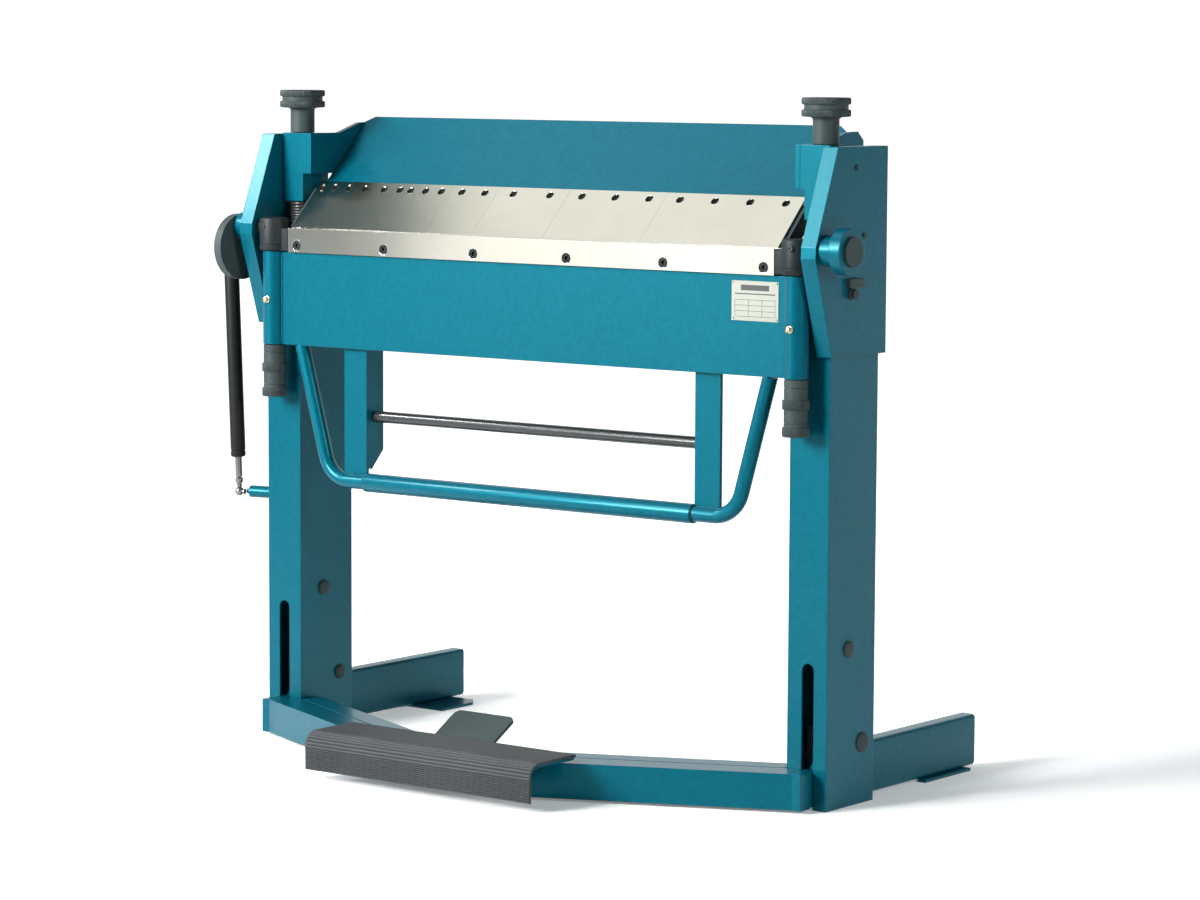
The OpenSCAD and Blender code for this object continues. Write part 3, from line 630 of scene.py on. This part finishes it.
blade_lo, blade_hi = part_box("apron_blade")
low = blade_lo.z + 2 * MM
for side_name, s in SIDES:
    node = side_name + "_hinge_arm"
    lo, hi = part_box(node)
    tube = centre(side_name + "_end_tube")
    foot, r, high = (tube.x, tube.y, 0), BARREL_R, hi.z
    barrel = lathe_data([(r - 2 * MM, low), (r - 0.6 * MM, low + 0.6 * MM), (r, low + 2 * MM),
                         (r, low + 9 * MM), (r - 0.7 * MM, low + 9.6 * MM),
                         (r - 0.7 * MM, low + 10.6 * MM), (r, low + 11.2 * MM),
                         (r, high - 4 * MM), (r - 1 * MM, high - 1.6 * MM),
                         (r - 3.4 * MM, high - 0.3 * MM), (r - 6 * MM, high)], foot, (0, 0, 1), 72)
    shaft = lathe_data([(SHAFT_R, lo.z), (SHAFT_R, low + 1 * MM)], foot, (0, 0, 1), 48)
    pin_long = abs(hi.x if s > 0 else lo.x) - abs(tube.x)
    pin = lathe_data([(PIN_R, 0), (PIN_R, pin_long - 1 * MM), (PIN_R - 1 * MM, pin_long)],
                     (tube.x, tube.y, blade_hi.z), (s, 0, 0), 48)
    lug_x = s * (blade_hi.x + 1.5 * MM)
    lug = rounded_bar(Vector((min(lug_x, tube.x), blade_lo.y, low)),
                      Vector((max(lug_x, tube.x), blade_hi.y, blade_hi.z - 1.5 * MM)), 1 * MM, "X")
    stand_in("turned_" + node, joined(barrel, shaft, pin, lug), CAST, node)

screws, rings = [], []
for lo, hi in islands("arm_set_screws"):
    c = (lo + hi) / 2
    screws.append(socket_screw((c.x, hi.y + 0.6 * MM, c.z), FORWARD, 4.6 * MM, 3.0 * MM,
                               2.3 * MM, 2.6 * MM))
    rings.append(ring_data((c.x, hi.y - 0.9 * MM, c.z), FORWARD, 4.7 * MM, 5.8 * MM, 0.5 * MM,
                           1.5 * MM))
stand_in("socket_set_screws", joined(*screws), BLACK, "arm_set_screws")
mesh_piece("set_screw_rims", *joined(*rings), CHROME, "hinge_arms", "black_steel")

# ---------------------------------------------------------------- gas spring

BALL_R, TUBE_R, ROD_R = 8 * MM, 13 * MM, 6 * MM
BALL_STEPS, BALL_PART = 12, 0.86
STUD_TURN = math.radians(14)

lo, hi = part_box("gas_rod")
foot_point = Vector(((lo.x + hi.x) / 2, lo.y + BALL_R, lo.z + BALL_R))
joints = {row["name"]: row for row in frame["record"]["behaviour"]["joints"]}
eye_point = Vector(joints["gas_spring_lean"]["pos_m"])
eye_point.x = foot_point.x
axis = eye_point - foot_point
length = axis.length
cylinder = lathe_data([(6.2 * MM, 62 * MM), (10.5 * MM, 62 * MM), (12.2 * MM, 63 * MM),
                       (TUBE_R, 65 * MM), (TUBE_R, 71 * MM), (12.2 * MM, 72 * MM),
                       (12.2 * MM, 74 * MM), (TUBE_R, 75 * MM), (TUBE_R, length - 18 * MM),
                       (12 * MM, length - 15.5 * MM), (8.5 * MM, length - 14 * MM),
                       (8 * MM, length - 13 * MM), (8 * MM, length - 6 * MM)],
                      foot_point, axis, 56)
spring_eye = lathe_data([(5.2 * MM, -7 * MM), (10 * MM, -7 * MM), (11 * MM, -6 * MM),
                         (11 * MM, 6 * MM), (10 * MM, 7 * MM), (5.2 * MM, 7 * MM)],
                        eye_point, (1, 0, 0), 40)
stand_in("gas_spring_tube", joined(cylinder, spring_eye), MATTE, "gas_cylinder")

profile = []
for i in range(BALL_STEPS + 1):
    a = -math.pi / 2 + math.pi * i / BALL_STEPS * BALL_PART
    profile.append((max(BALL_R * math.cos(a), 0.3 * MM), BALL_R * math.sin(a)))
profile += [(4.6 * MM, 9 * MM), (4.6 * MM, 15 * MM), (6.8 * MM, 16 * MM), (6.8 * MM, 24 * MM),
            (4 * MM, 25 * MM), (4 * MM, 26 * MM), (ROD_R, 26.6 * MM), (ROD_R, 150 * MM)]
stand_in("gas_spring_rod_and_ball", lathe_data(profile, foot_point, axis, 48), CHROME, "gas_rod")
stud = lathe_data([(3.6 * MM, 6.5 * MM), (3.6 * MM, 10 * MM), (5 * MM, 10 * MM),
                   (5 * MM, 10.8 * MM)], foot_point,
                  (math.cos(STUD_TURN), math.sin(STUD_TURN), 0), 24)
mesh_piece("gas_spring_stud", *stud, CHROME, "frame", "chrome_rod")

# ---------------------------------------------------------------- weld beads


FOOT_BEAD_R, BEAM_BEAD_R, WEB_BEAD_R = 2.6 * MM, 2.2 * MM, 2.4 * MM
BEAD_STEP = 1.5 * MM


def weld(path, r, seed):
    """A rippled bead along points."""
    points = [Vector(p) for p in path]
    total = sum((b - a).length for a, b in zip(points, points[1:]))
    steps = max(12, int(total / BEAD_STEP))
    walk, radii = [], []
    for i in range(steps + 1):
        t = total * i / steps
        for a, b in zip(points, points[1:]):
            span = (b - a).length
            if t <= span or b is points[-1]:
                walk.append(a + (b - a) * min(t / span, 1.0))
                break
            t -= span
        ripple = 0.14 * math.sin(i * 2.1 + seed) + 0.06 * math.sin(i * 0.37 + seed * 3)
        radii.append(r * (0.88 + ripple))
    return sweep_data(walk, radii, 10)


def upright_weld(x, y, low, high, r, seed):
    """A straight bead along Z."""
    return weld([(x, y, low), (x, y, high)], r, seed)


beads = []
for side_name, s in SIDES:
    lo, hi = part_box(side_name + "_foot")
    beads.append(weld([(lo.x, lo.y, lo.z), (lo.x, lo.y, hi.z), (hi.x, lo.y, hi.z),
                       (hi.x, lo.y, lo.z)], FOOT_BEAD_R, s))
mesh_piece("foot_welds", *joined(*beads), TEAL, "frame", "teal_paint", 80)

beads = []
plate_lo, plate_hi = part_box("apron_plate")
for side_name, s in SIDES:
    lo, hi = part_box(side_name + "_rib")
    for x in (lo.x, hi.x):
        beads.append(upright_weld(x, plate_hi.y + 0.4 * MM, plate_lo.z + 6 * MM,
                                  plate_lo.z + 120 * MM, BEAM_BEAD_R, x))
    under = lo.z - 0.6 * MM
    beads.append(weld([(lo.x, lo.y + 2 * MM, under), (hi.x, lo.y + 2 * MM, under)], BEAM_BEAD_R,
                      s * 2))
for c, r in end_tubes:
    reach = math.sqrt(max(r * r - (c.y - plate_lo.y) ** 2, 0.0))
    beads.append(upright_weld(c.x - math.copysign(reach, c.x), plate_lo.y, plate_lo.z + 3 * MM,
                              plate_hi.z - 3 * MM, BEAM_BEAD_R, c.x))
mesh_piece("beam_welds", *joined(*beads), TEAL, "bending_beam", "teal_paint", 80)

beads = []
web_lo, web_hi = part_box("clamp_web")
for side_name, s in SIDES:
    lo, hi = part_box(side_name + "_gusset")
    beads.append(upright_weld(lo.x if s > 0 else hi.x, web_hi.y + 0.5 * MM, web_lo.z + 2 * MM,
                              web_hi.z - 6 * MM, WEB_BEAD_R, s))
mesh_piece("clamping_beam_welds", *joined(*beads), TEAL, "clamping_beam", "teal_paint", 80)

# ---------------------------------------------------------------- camera

CAMERA_PLACE = Vector((3.94927, -5.34897, 1.20177))
CAMERA_LENS, SENSOR_WIDTH = 115.43, 36.0
YAW, PITCH, ROLL = math.radians(37.42), math.radians(-5.97), math.radians(0.29)

ahead = Vector((-math.sin(YAW) * math.cos(PITCH), math.cos(YAW) * math.cos(PITCH), math.sin(PITCH)))
level = Vector((math.cos(YAW), math.sin(YAW), 0))
above = level.cross(ahead)
right = level * math.cos(ROLL) + above * math.sin(ROLL)
up = above * math.cos(ROLL) - level * math.sin(ROLL)
cam = bpy.data.cameras.new("view")
cam.lens, cam.sensor_width, cam.sensor_fit = CAMERA_LENS, SENSOR_WIDTH, "HORIZONTAL"
cam.clip_start, cam.clip_end = 0.1, 100.0
view = bpy.data.objects.new("view", cam)
bpy.context.scene.collection.objects.link(view)
turn = Matrix((right, up, -ahead)).transposed().to_4x4()
view.matrix_world = Matrix.Translation(CAMERA_PLACE) @ turn
bpy.context.scene.camera = view

# ---------------------------------------------------------------- light

WHITE, WARM = (1, 1, 1), (1, 0.98, 0.93)
KEY_SPREAD = math.radians(60)
BEHIND = Vector((-0.6, 0.8, 0.0))
WALL_DARK, WALL_LIGHT = (0.085, 0.125, 0.135, 1), (1.05, 1.05, 1.05, 1)


def softbox(name, place, target, width, height, power, colour):
    """A rectangular area light that faces its target."""
    light = bpy.data.lights.new(name, "AREA")
    light.shape, light.size, light.size_y = "RECTANGLE", width, height
    light.energy, light.color = power, colour
    obj = bpy.data.objects.new(name, light)
    bpy.context.scene.collection.objects.link(obj)
    obj.location = place
    obj.rotation_mode = "QUATERNION"
    obj.rotation_quaternion = (Vector(target) - Vector(place)).to_track_quat("-Z", "Y")
    return obj


def graded(tree, output, direction, limits):
    """How far a coordinate lies along the direction, brought into limits (socket name, value)."""
    where = tree.nodes.new("ShaderNodeTexCoord")
    along = tree.nodes.new("ShaderNodeVectorMath")
    along.operation = "DOT_PRODUCT"
    along.inputs[1].default_value = direction
    tree.links.new(where.outputs[output], along.inputs[0])
    fade = tree.nodes.new("ShaderNodeMapRange")
    for socket, value in limits:
        fade.inputs[socket].default_value = value
    tree.links.new(along.outputs["Value"], fade.inputs["Value"])
    return fade


# name, place, target, width, height, power, colour
LIGHTS = (("key", (-2.1, -5.2, 2.7), (-0.3, -0.4, 1.35), 2.2, 2.0, 102, WHITE),
          ("sky_card", (-1.8, -0.55, 4.5), (0.3, -0.35, 0.95), 1.5, 2.2, 12, WARM),
          ("left_edge_card", (-2.77, -2.17, 2.64), (-0.6, -0.42, 1.1), 0.7, 0.5, 60, WHITE),
          ("right_edge_card", (-1.25, -2.4, 2.7), (0.6, -0.42, 1.05), 0.6, 0.5, 15, WHITE),
          ("blade_card", (-3.1, -5.6, 0.65), (0.3, -0.4, 0.95), 2.3, 1.5, 14.5, WARM),
          ("side_card", (5.2, -1.2, 2.1), (0.6, 0.0, 0.9), 0.7, 1.8, 115, WHITE))
lamps = {row[0]: softbox(*row) for row in LIGHTS}
lamps["key"].data.spread = KEY_SPREAD

world = bpy.data.worlds.new("studio")
bpy.context.scene.world = world
world.use_nodes = True
tree = world.node_tree
ramp = graded(tree, "Generated", BEHIND, (("From Min", 0.42), ("From Max", 0.92)))
ramp.interpolation_type = "SMOOTHSTEP"
walls = new_node(tree, "ShaderNodeMixRGB", Color1=WALL_DARK, Color2=WALL_LIGHT)
tree.links.new(ramp.outputs["Result"], walls.inputs["Fac"])
tree.links.new(walls.outputs["Color"], tree.nodes["Background"].inputs["Color"])
tree.nodes["Background"].inputs["Strength"].default_value = 1.0

# ---------------------------------------------------------------- floor, with a painted glow

REACH = 30

floor_mesh = bpy.data.meshes.new("floor")
floor_mesh.from_pydata([(-REACH, -REACH, 0), (REACH, -REACH, 0), (REACH, REACH, 0),
                        (-REACH, REACH, 0)], [], [(0, 1, 2, 3)])
floor = bpy.data.objects.new("floor", floor_mesh)
bpy.context.scene.collection.objects.link(floor)
floor_mat = surface("floor_card", (0.86, 0.86, 0.86), (0.88, 0.88, 0.88), 0.8, grain=(3, 3, 3),
                    bump=0.0, edge=0.0, patch=0.4, specular=0.1)
glow = floor_mat.node_tree.nodes["Principled BSDF"]
glow.inputs["Emission Color"].default_value = (1, 1, 1, 1)
tree = floor_mat.node_tree
# The floor glows: painted light, dim near the machine and in front of it, brightening to a full white
# glow behind it.
painted_glow_ramp = graded(tree, "Object", BEHIND,
              (("From Min", -0.5), ("From Max", 3.5), ("To Min", 0.2), ("To Max", 1.0)))
tree.links.new(painted_glow_ramp.outputs["Result"], glow.inputs["Emission Strength"])
paint(floor, floor_mat)
bpy.context.scene.view_settings.view_transform = "Standard"
